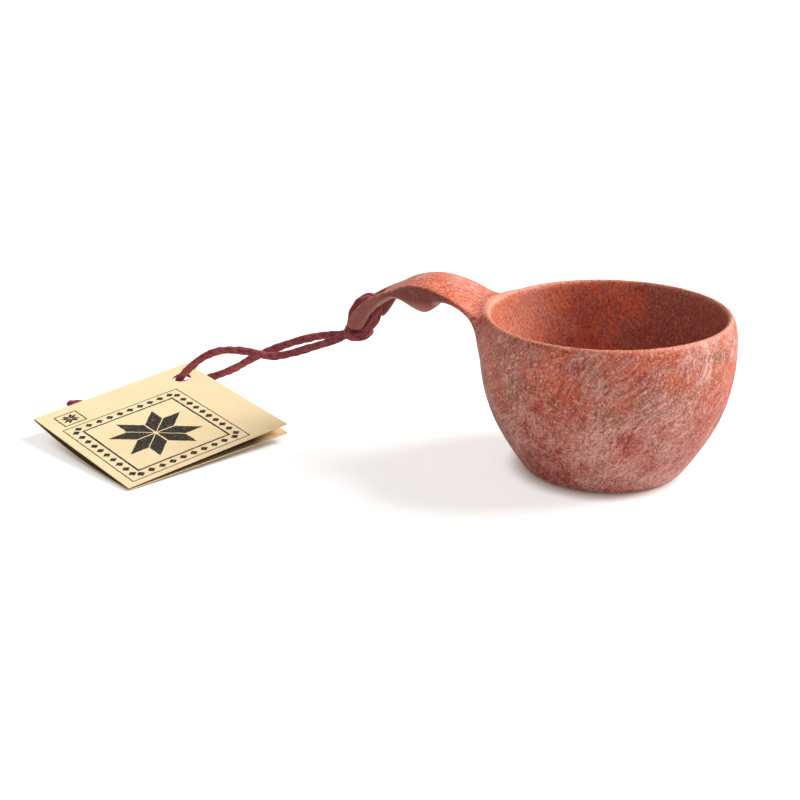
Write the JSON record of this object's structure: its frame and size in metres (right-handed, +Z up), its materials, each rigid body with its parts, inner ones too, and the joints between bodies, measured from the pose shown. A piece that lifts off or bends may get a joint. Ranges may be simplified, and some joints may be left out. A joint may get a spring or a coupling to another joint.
{
  "type": "kuksa drinking cup",
  "caption": "Round moulded drinking cup with a hooked flat handle, a cotton carrying cord hitched through the handle's eye and a folded card tag threaded on the cord.",
  "frame": {"origin": "centre of the flat base, on the surface the cup stands on", "axes": "+Z up along the bowl's axis; the handle, cord and tag point to -X"},
  "size_m": [0.2835, 0.131, 0.071],
  "materials": {
    "cup": "satin, mottled wood-fibre composite",
    "cord": "twisted cotton",
    "card": "uncoated card with dark print"
  },
  "bodies": {
    "cup": {"cup_body": "cup", "cord_hitch": "cord"},
    "strap": {"cord_strand_upper": "cord", "cord_strand_lower": "cord", "cord_knot": "cord"},
    "tag": {"tag_back": "card"},
    "tag_cover": {"tag_cover": "card"}
  },
  "joints": [
    {"name": "strap_swing", "type": "hinge", "parent": "cup", "child": "strap", "pos_m": [-0.106, 0, 0.044], "axis": [0, 0, 1], "range_deg": [-25, 25], "deforming": ["cord_strand_upper", "cord_strand_lower"]},
    {"name": "tag_turn", "type": "hinge", "parent": "strap", "child": "tag", "pos_m": [-0.19, 0.0072, 0.0136], "axis": [0.0439, -0.1314, 0.9904], "range_deg": [-20, 15]},
    {"name": "tag_open", "type": "hinge", "parent": "tag", "child": "tag_cover", "pos_m": [-0.2132, -0.0124, 0.0118], "axis": [-0.4963, -0.8632, -0.0924], "range_deg": [0, 8]}
  ]
}
